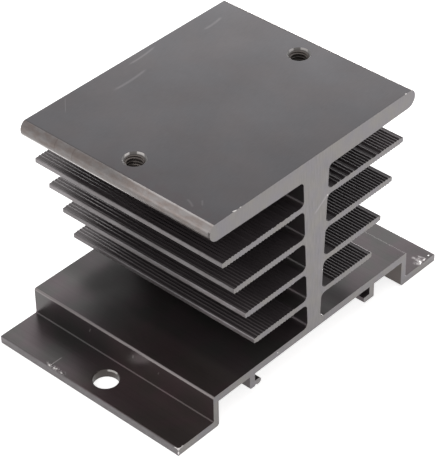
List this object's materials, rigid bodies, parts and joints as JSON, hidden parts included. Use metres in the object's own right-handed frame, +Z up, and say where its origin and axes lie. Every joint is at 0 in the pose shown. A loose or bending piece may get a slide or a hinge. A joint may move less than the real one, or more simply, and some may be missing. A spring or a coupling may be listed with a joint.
{
  "type": "solid state relay heat sink",
  "caption": "Extruded aluminium heat sink block: thick mounting plate with tapped holes, central web with ribbed fins, and a flanged foot with rail hooks underneath.",
  "frame": {"origin": "on the foot plane, below the middle of the block", "axes": "+X across the extruded section from one flange to the other, +Y along the extrusion, +Z up from the foot to the mounting plate"},
  "size_m": [0.08, 0.05, 0.05],
  "materials": {
    "anodised_aluminium": "satin black anodised, with lighter sawn end faces"
  },
  "bodies": {
    "root": {"heat_sink_body": "anodised_aluminium"}
  },
  "joints": []
}
